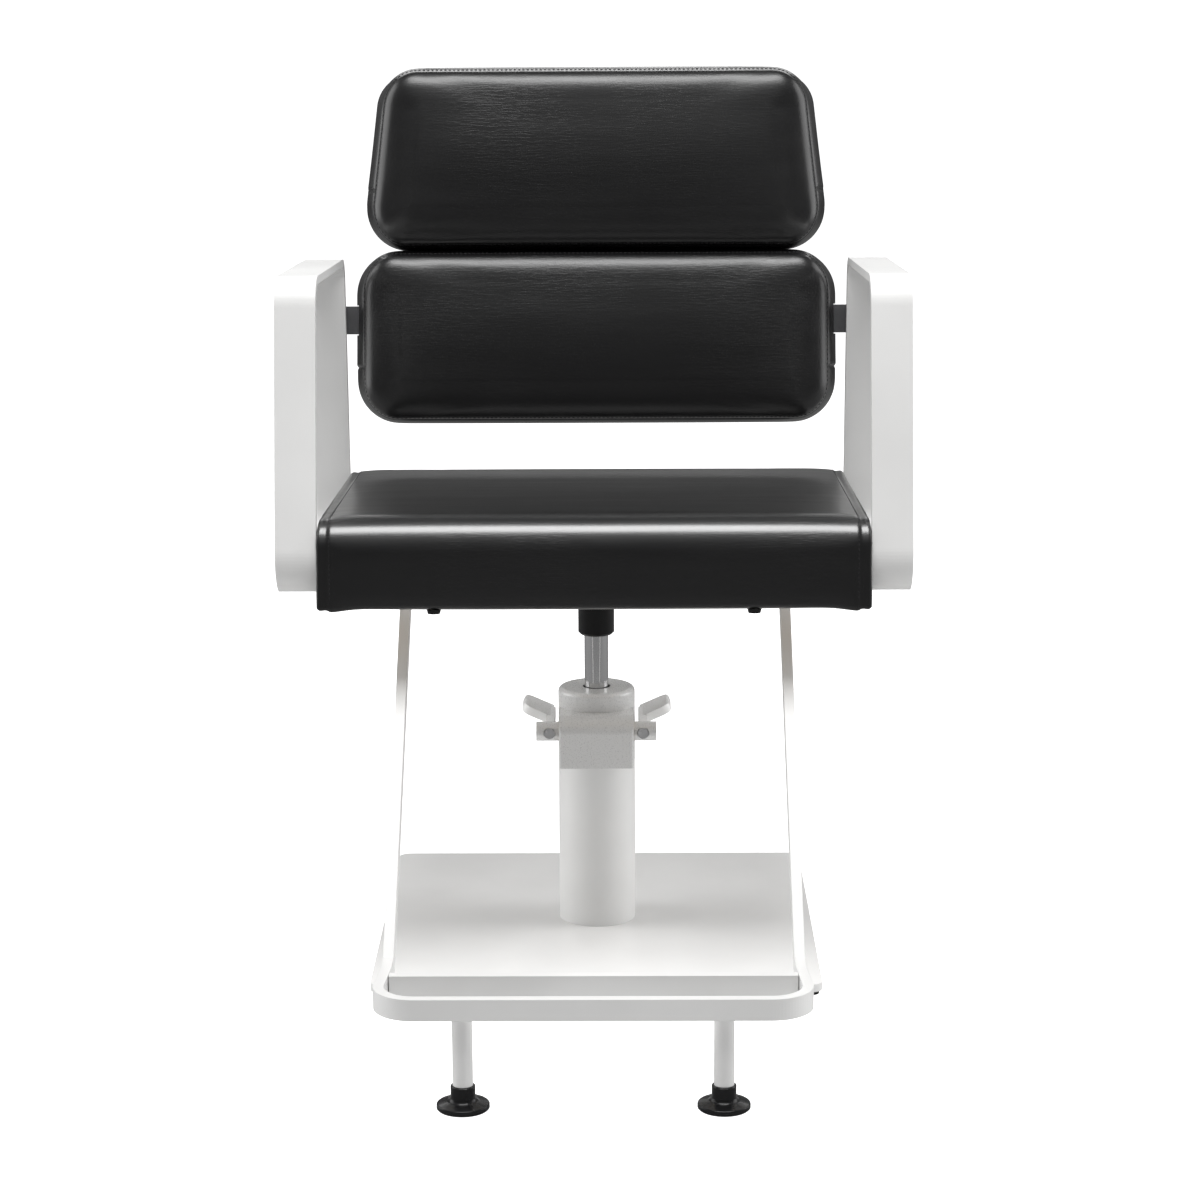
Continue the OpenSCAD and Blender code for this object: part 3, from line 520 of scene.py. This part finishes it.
PAD_CORNER = 46 * MM          # corner radius of a pad's widest outline
PAD_FLARE_SIDE = 9 * MM       # the front seam runs this much inside the rear outline, at the sides
PAD_FLARE_TOP = 0.8 * MM
PAD_FLARE_BOTTOM = 4 * MM
PAD_ROLL_WIDTH = 42 * MM      # how far the front panel's rounded edge reaches in
PAD_ROLL_STEPS = 12
PAD_ROLL_TIGHTER = 0.35       # share of the roll's width taken off along the top edge
PAD_ROLL_SHAPE = 2 / 2.6      # exponent of the roll's width; 1 would be an ellipse
PAD_MELTED_RINGS = 6          # rings of the roll that run smoothly into the flat of the panel
PAD_SEAM_DEPTH = 26 * MM      # seam behind the CAD pad's face
PAD_CROWN = 4 * MM            # how far the front panel's middle swells out
PAD_MEETING = 1.35 * MM       # each pad reaches this far into the gap between the two
PAD_WIDER = 1.8 * MM          # the stuffed sides stand out this much from the CAD pad
PAD_SIDES = (60, 36)          # mesh steps along the straight sides
PAD_CORNER_STEPS = 10
PAD_SEAM_GROOVE = 1.6 * MM    # how deep the seam is drawn in
PAD_SEAM_WIDTH = 1.8 * MM
PAD_SEAM_NEAR = 3 * MM        # the roll isn't tightened this near to the seam
PAD_REAR_EDGE = 3 * MM        # rounding of the rear edge
PAD_REAR_MARGIN = 16 * MM     # mesh margin round the flat rear
PAD_SWELLING = 1.1 * MM       # most that the cloth simulation may move a point
PAD_MELT_PASSES = 30
PAD_GATHERING = 0.4           # how strongly the leather is gathered along the top, and how far down
PAD_GATHERING_REACH = 22 * MM
BAND_STEPS = 7
BAND_BULGE = 1.2 * MM
BAND_JOIN_SHARE = 0.33        # the side band's joins stand this far up the pad
BAND_JOIN_GROOVE = 1.3 * MM
BAND_JOIN_WIDTH = 1.6 * MM
BAND_JOIN_STEP = 0.7 * MM     # the band stands out this much more above a join, over the next stretch
BAND_JOIN_STRETCH = 30 * MM
BAND_REACH = 30 * MM          # the side band lies this close to the pad's side
NOTCH_GAP = 1 * MM            # room round the back bar's end
NOTCH_DEPTH = 14 * MM
CUT_BEYOND = 20 * MM          # how far cutters run past the surface
STITCH_LEAN = -0.6            # how far the stitches' outward direction turns to the front
PRESSURE = 4.0


def pad_flare(normal):
    rise = PAD_FLARE_TOP if normal.y > 0 else PAD_FLARE_BOTTOM
    return PAD_FLARE_SIDE * normal.x ** 2 + rise * normal.y ** 2


def back_pad(name, node, corners):
    """One pad: a rolled front panel, a sewn side band and a closed rear."""
    lo, hi = box_in(BACK, node)
    front, rear = lo.y, hi.y
    seam_depth = front + PAD_SEAM_DEPTH
    outline = rounded_outline(corners, [PAD_CORNER] * 4, PAD_SIDES, PAD_CORNER_STEPS)
    points, faces, rings = [], [], []

    def ring(inset, depth, flare, tightening=0.0):
        first = len(points)
        for centre, normal, radius in outline:
            tighter = tightening * max(0.0, normal.y) ** 2
            place = centre + normal * (radius - inset * (1 - tighter) - flare * pad_flare(normal))
            points.append(Vector((place.x, depth, place.y)))
        rings.append(list(range(first, len(points))))

    for k in range(PAD_ROLL_STEPS + 1):
        turn = math.pi / 2 * k / PAD_ROLL_STEPS
        inset = PAD_ROLL_WIDTH * (1 - math.sin(turn) ** PAD_ROLL_SHAPE)
        rise = (PAD_SEAM_DEPTH - PAD_CROWN) * (1 - math.cos(turn))
        ring(inset, front + PAD_CROWN + rise, 1.0, PAD_ROLL_TIGHTER if inset > PAD_SEAM_NEAR else 0.0)
    ring(PAD_SEAM_GROOVE, seam_depth + PAD_SEAM_WIDTH / 2, 1.0)
    band_front, band_rear = seam_depth + PAD_SEAM_WIDTH, rear - PAD_REAR_EDGE
    for k in range(BAND_STEPS + 1):
        share = k / BAND_STEPS
        bulge = BAND_BULGE * math.sin(math.pi * share)
        ring(-bulge, band_front + (band_rear - band_front) * share, (1 - share) ** 0.8)
    ring(0.3 * PAD_REAR_EDGE, rear - 0.3 * PAD_REAR_EDGE, 0.0)
    ring(PAD_REAR_EDGE, rear, 0.0)
    ring(PAD_REAR_MARGIN, rear, 0.0)
    for outer, inner in zip(rings, rings[1:]):
        faces += loop_faces(outer, inner)
    across, up = [side + PAD_CORNER_STEPS for side in PAD_SIDES]
    grid = patch_inside(points, faces, rings[0], across, up)
    for i in range(1, across):
        for j in range(1, up):
            crown = (1 - (2 * i / across - 1) ** 6) ** 2 * (1 - (2 * j / up - 1) ** 2) ** 2
            points[grid[i, j]].y -= PAD_CROWN * crown
    rear_first = len(points)
    patch_inside(points, faces, rings[-1], across, up)
    pad = new_piece(name, [BACK @ p for p in points], faces, FINISHES["black_leather"])
    recalculate_normals(pad)
    seam = rings[PAD_ROLL_STEPS + 1]
    held = seam + [number for loop in rings[-4:] for number in loop] + list(range(rear_first, len(points)))
    puff(pad, held, PRESSURE, PAD_SWELLING)
    weights = [0.0] * len(points)
    for number in rings[0] + list(grid.values()):
        weights[number] = 1.0
    for step, loop in enumerate(rings[1:PAD_MELTED_RINGS], start=1):
        for number in loop:
            weights[number] = 1 - step / PAD_MELTED_RINGS
    melt(pad, weights, PAD_MELT_PASSES)
    top = max(corner.y for corner in corners)
    unlean = BACK.transposed()
    mark_roll(pad, lambda p: PAD_GATHERING * hump((unlean @ p).z, top, PAD_GATHERING_REACH))
    guide = []
    for number, (_, normal, _) in zip(rings[PAD_ROLL_STEPS - 2], outline):
        outward = BACK @ Vector((normal.x, STITCH_LEAN, normal.y)).normalized()
        guide.append((pad.data.vertices[number].co.copy(), outward))
    guide.append(guide[0])
    subdivide(pad)
    line = surface_line(pad, guide)
    join_z = lo.z + BAND_JOIN_SHARE * (hi.z - lo.z)
    sew_band_joins(pad, join_z, band_front, hi.x)
    notch_for_bar(pad, lo, hi)
    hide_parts(node)
    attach(pad, "chair")
    stitches(name + "_stitching", line, "chair")


def sew_band_joins(pad, join_z, band_front, half_width):
    """Draws in the side band where its two lengths are joined, with a small step above the join."""
    unlean = BACK.transposed()
    for vertex in pad.data.vertices:
        p = unlean @ vertex.co
        if p.y < band_front or abs(p.x) < half_width - BAND_REACH:
            continue
        above = p.z - join_z
        step = BAND_JOIN_STEP * math.exp(-above / BAND_JOIN_STRETCH) if above > 0 else 0.0
        move = step - BAND_JOIN_GROOVE * hump(above, 0, BAND_JOIN_WIDTH)
        vertex.co += BACK.col[0] * (move if p.x > 0 else -move)


def notch_for_bar(pad, lo, hi):
    """Cuts both sides of the band away round the ends of the back bar."""
    bar_lo, bar_hi = box_in(BACK, "back_bar")
    if not lo.z < bar_hi.z < hi.z:
        return
    for side in (-1, 1):
        low_x, high_x = sorted((side * (hi.x - NOTCH_DEPTH), side * (hi.x + CUT_BEYOND)))
        low = Vector((low_x, bar_lo.y - NOTCH_GAP, bar_lo.z - NOTCH_GAP))
        high = Vector((high_x, hi.y + CUT_BEYOND, bar_hi.z + NOTCH_GAP))
        cut_with_boxes(pad, [(low, high)], BACK)


lower_lo, lower_hi = box_in(BACK, "lower_back_pad")
upper_lo, upper_hi = box_in(BACK, "upper_back_pad")
UPPER_TOP_NARROWER = 22 * MM  # each side of the upper pad leans in this much
for lo, hi in ((lower_lo, lower_hi), (upper_lo, upper_hi)):
    lo.x -= PAD_WIDER
    hi.x += PAD_WIDER
lower_top = lower_hi.z + PAD_MEETING
upper_bottom = upper_lo.z - PAD_MEETING
lower_corners = [
    Vector((lower_lo.x, lower_lo.z)), Vector((lower_hi.x, lower_lo.z)),
    Vector((lower_hi.x, lower_top)), Vector((lower_lo.x, lower_top)),
]
upper_corners = [
    Vector((upper_lo.x, upper_bottom)), Vector((upper_hi.x, upper_bottom)),
    Vector((upper_hi.x - UPPER_TOP_NARROWER, upper_hi.z)),
    Vector((upper_lo.x + UPPER_TOP_NARROWER, upper_hi.z)),
]
back_pad("lower_back_upholstery", "lower_back_pad", lower_corners)
back_pad("upper_back_upholstery", "upper_back_pad", upper_corners)


# Seat cushion

SEAT_SEAM_IN = 3.7 * MM       # the side seams run this much inside the CAD cushion's sides
SEAT_SIDE_BULGE = 8.9 * MM
SEAT_FRONT_BULGE = 2.2 * MM   # further bulge of the side panels in front of the arms
SEAT_FRONT_REACH = 13 * MM
SEAT_CROWN = 1.5 * MM
SEAT_EAR = 4.5 * MM           # droop of the front bottom corners
SEAT_RADII = [6 * MM, 6 * MM, 14 * MM, 31 * MM]
SEAT_SIDES = (46, 8)
SEAT_CORNER_STEPS = 10
SEAT_ROWS = 60
SEAM_GROOVE = 2.2 * MM
SEAM_WIDTH = 1.8 * MM
SEAT_SIDE_ROWS = [(4.5 * MM, 0.9), (2.0 * MM, 0.62)]    # inset of a mesh ring, share of the bulge
SEAT_EDGE_ROWS = [0.0, 1.2 * MM, 3 * MM, 6 * MM]        # closer mesh rings beside the seam
SEAT_SWELLING = 0.6 * MM
SEAT_EAR_REACH = Vector((20 * MM, 16 * MM, 14 * MM))
SEAT_GATHERING_AT = 8 * MM    # the gathered leather lies this far behind the front
SEAT_GATHERING_REACH = (22 * MM, 30 * MM)
SEAT_UNDERSIDE = 8 * MM       # held still by the cloth simulation up to this height
SEAT_STITCHED_ABOVE = 5 * MM


def seat_cushion():
    """Top, front and rear in one panel between two bulging side panels, sewn along both sides."""
    lo, hi = box_in(SEAT, "seat_cushion")
    corners = [Vector((lo.y, lo.z)), Vector((hi.y, lo.z)), Vector((hi.y, hi.z)), Vector((lo.y, hi.z))]
    outline = rounded_outline(corners, SEAT_RADII, SEAT_SIDES, SEAT_CORNER_STEPS)
    seam_x = hi.x - SEAT_SEAM_IN
    points, faces, rings = [], [], []

    def ring(x, inset):
        first = len(points)
        for centre, normal, radius in outline:
            place = centre + normal * (radius - inset)
            points.append(Vector((x, place.x, place.y)))
        rings.append(list(range(first, len(points))))

    places = [-seam_x + edge for edge in SEAT_EDGE_ROWS]
    inner = seam_x - SEAT_EDGE_ROWS[-1]
    places += [inner * (2 * k / SEAT_ROWS - 1) for k in range(1, SEAT_ROWS)]
    places += [seam_x - edge for edge in reversed(SEAT_EDGE_ROWS)]
    for inset, share in SEAT_SIDE_ROWS:
        ring(-seam_x - SEAT_SIDE_BULGE * share, inset)
    first_seam = len(rings)
    for x in places:
        crown = SEAT_CROWN * abs(x / seam_x) ** 4
        ring(x, crown + SEAM_GROOVE * hump(seam_x - abs(x), 0, SEAM_WIDTH))
    last_seam = len(rings) - 1
    for inset, share in reversed(SEAT_SIDE_ROWS):
        ring(seam_x + SEAT_SIDE_BULGE * share, inset)
    for outer, inner in zip(rings, rings[1:]):
        faces += loop_faces(outer, inner)
    along, up = [side + SEAT_CORNER_STEPS for side in SEAT_SIDES]
    for loop, side in ((rings[0], -1), (rings[-1], 1)):
        grid = patch_inside(points, faces, loop, along, up)
        for i in range(1, along):
            for j in range(1, up):
                dome = (1 - abs(2 * i / along - 1) ** 10) * (1 - abs(2 * j / up - 1) ** 2.5)
                points[grid[i, j]].x += side * SEAT_SIDE_BULGE * (1 - SEAT_SIDE_ROWS[0][1]) * dome
    seat = new_piece("seat_upholstery", [SEAT @ p for p in points], faces,
                     FINISHES["black_leather"])
    recalculate_normals(seat)
    held = set(rings[first_seam] + rings[last_seam])
    held |= {number for number, p in enumerate(points) if p.z < lo.z + SEAT_UNDERSIDE}
    puff(seat, sorted(held), PRESSURE, SEAT_SWELLING)
    unlean = SEAT.transposed()
    for vertex in seat.data.vertices:
        p = unlean @ vertex.co
        ear = hump(abs(p.x), seam_x, SEAT_EAR_REACH.x)
        ear *= hump(p.y, lo.y, SEAT_EAR_REACH.y) * hump(p.z, lo.z, SEAT_EAR_REACH.z)
        vertex.co -= SEAT.col[2] * (SEAT_EAR * ear)
        if abs(p.x) > seam_x:
            beside = hump(p.y, lo.y, SEAT_FRONT_REACH)
            vertex.co += SEAT.col[0] * math.copysign(SEAT_FRONT_BULGE * beside, p.x)

    def gathering(place):
        p = unlean @ place
        behind, below = SEAT_GATHERING_REACH
        return hump(p.y, lo.y + SEAT_GATHERING_AT, behind) * hump(p.z, hi.z, below)

    mark_roll(seat, gathering)
    lines = []
    for index in (first_seam + 2, last_seam - 2):
        guide = []
        for number, (_, normal, _) in zip(rings[index], outline):
            outward = SEAT @ Vector((0, normal.x, normal.y))
            guide.append((seat.data.vertices[number].co.copy(), outward))
        lines.append(guide)
    subdivide(seat)
    for number, guide in enumerate(lines):
        line = [g for g in surface_line(seat, guide) if (unlean @ g[0]).z > lo.z + SEAT_STITCHED_ABOVE]
        stitches(f"seat_stitching_{number + 1}", line, "chair")
    return seat


BOARD_GAP = 2 * MM            # room round the seat board, and above it
BOARD_ROOF = 1.5 * MM
BAR_GAP = Vector((0.5 * MM, 0.5 * MM, 0.5 * MM))

seat = seat_cushion()
seat_lo, _ = box_in(SEAT, "seat_cushion")
board_lo, board_hi = box_in(SEAT, "seat_board")
recess = (
    Vector((board_lo.x - BOARD_GAP, board_lo.y - BOARD_GAP, seat_lo.z - CUT_BEYOND)),
    Vector((board_hi.x + BOARD_GAP, board_hi.y + BOARD_GAP, board_hi.z + BOARD_ROOF)),
)
slots = []
for bar in ("front_seat_bar", "rear_seat_bar"):
    lo, hi = box_in(SEAT, bar)
    slots.append((lo - BAR_GAP, hi + BAR_GAP))
cut_with_boxes(seat, [recess] + slots, SEAT)
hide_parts("seat_cushion")
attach(seat, "chair")


# ---- Pump spring ----


def return_spring():
    """The pump's return spring, copied from the CAD spring into a mesh of its own. The real spring shortens
    as the pedals push the plunger down; nothing here makes this one shorten.
    """
    cad_spring = nodes["plunger_spring"]
    points = [cad_spring.matrix_world @ vertex.co for vertex in cad_spring.data.vertices]
    faces = [tuple(face.vertices) for face in cad_spring.data.polygons]
    spring = new_piece("return_spring", points, faces, FINISHES["zinc_steel"])
    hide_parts("plunger_spring")
    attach(spring, "base")
    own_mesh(spring)


return_spring()


# ---- Stage, light and camera ----


def camera_matrix(place, yaw, pitch, roll):
    """A camera at a place, looking along +Y turned left by yaw, down by pitch, and rolled."""
    right = Vector((math.cos(yaw), -math.sin(yaw), 0))
    ahead = Vector((math.sin(yaw) * math.cos(pitch), math.cos(yaw) * math.cos(pitch), -math.sin(pitch)))
    up = Vector((math.sin(yaw) * math.sin(pitch), math.cos(yaw) * math.sin(pitch), math.cos(pitch)))
    turned_right = right * math.cos(roll) + up * math.sin(roll)
    turned_up = up * math.cos(roll) - right * math.sin(roll)
    matrix = Matrix((turned_right, turned_up, -ahead)).transposed().to_4x4()
    matrix.translation = place
    return matrix


CAMERA_PLACE = (0.0283, -3.2045, 1.0554)
CAMERA_YAW = math.radians(-0.544)
CAMERA_PITCH = math.radians(12.237)
CAMERA_ROLL = math.radians(-0.302)
CAMERA_SENSOR = 36
CAMERA_LENS = 95.71

camera = bpy.data.objects.new("camera", bpy.data.cameras.new("camera"))
bpy.context.collection.objects.link(camera)
camera.data.sensor_width = CAMERA_SENSOR
camera.data.lens = CAMERA_LENS
camera.matrix_world = camera_matrix(CAMERA_PLACE, CAMERA_YAW, CAMERA_PITCH, CAMERA_ROLL)
bpy.context.scene.camera = camera

FLOOR_SIZE = 400.0
FLOOR_DROP = 0.2 * MM         # the floor lies just under the chair's base


def pale_floor():
    """White to the camera, pale to the light it bounces, and dark grey in reflections."""
    shader = Shader("pale_floor")
    path = shader.add("LightPath").outputs
    shader.set(Base_Color=shader.mix_colour(path["Is Glossy Ray"], (0.68, 0.68, 0.68), (0.2, 0.2, 0.2)))
    shader.set(Roughness=0.9, Specular_IOR_Level=0.1, Emission_Color=(1, 1, 1, 1))
    shader.set(Emission_Strength=path["Is Camera Ray"])
    return shader.material


bpy.ops.mesh.primitive_plane_add(size=FLOOR_SIZE, location=(0, 0, cad_lo.z - FLOOR_DROP))
floor = bpy.context.object
floor.name = "floor"
floor.data.materials.append(pale_floor())


def softbox(name, place, aim, width, height, radiance, mirrored=True):
    """A rectangular softbox at a place, facing a point. One that isn't mirrored lights without highlights."""
    light = bpy.data.lights.new(name, "AREA")
    light.shape = "RECTANGLE"
    light.size, light.size_y = width, height
    light.energy = radiance * math.pi * width * height
    lamp = bpy.data.objects.new(name, light)
    lamp.location = place
    lamp.rotation_mode = "QUATERNION"
    lamp.rotation_quaternion = (Vector(aim) - Vector(place)).to_track_quat("-Z", "Y")
    lamp.visible_glossy = mirrored
    bpy.context.collection.objects.link(lamp)


softbox("overhead", place=(0, -0.95, 3), aim=(0, -0.1, 0.5), width=2.4, height=1.25, radiance=7.4)
for side, name in ((-1, "left"), (1, "right")):
    softbox(name + "_panel", place=(2.4 * side, 0.5, 1.2), aim=(0, 0, 0.6),
            width=1.8, height=2.2, radiance=1.6)
    softbox(name + "_fill", place=(2.6 * side, -0.15, 1.4), aim=(0, 0, 0.5),
            width=1.8, height=2.0, radiance=2.7, mirrored=False)
softbox("front_fill", place=(0, -2.9, 2.7), aim=(0, 0, 0.4), width=3, height=1.6, radiance=0.25)
softbox("rear_panel", place=(0, 3, 2.4), aim=(0, 0, 0.6), width=3, height=1.2, radiance=2)

WORLD_GREY = 0.23
WORLD_GREY_MIRRORED = 0.12
world = bpy.data.worlds.new("studio")
world.use_nodes = True
background = world.node_tree.nodes["Background"]
background.inputs["Color"].default_value = (1, 1, 1, 1)
dimmer = world.node_tree.nodes.new("ShaderNodeMapRange")
dimmer.inputs["To Min"].default_value = WORLD_GREY
dimmer.inputs["To Max"].default_value = WORLD_GREY_MIRRORED
light_path = world.node_tree.nodes.new("ShaderNodeLightPath")
world.node_tree.links.new(light_path.outputs["Is Glossy Ray"], dimmer.inputs["Value"])
brighter = world.node_tree.nodes.new("ShaderNodeMath")
brighter.operation = "MAXIMUM"
world.node_tree.links.new(dimmer.outputs["Result"], brighter.inputs[0])
world.node_tree.links.new(light_path.outputs["Is Camera Ray"], brighter.inputs[1])
world.node_tree.links.new(brighter.outputs["Value"], background.inputs["Strength"])
scene = bpy.context.scene
scene.world = world
scene.view_settings.view_transform = "Standard"
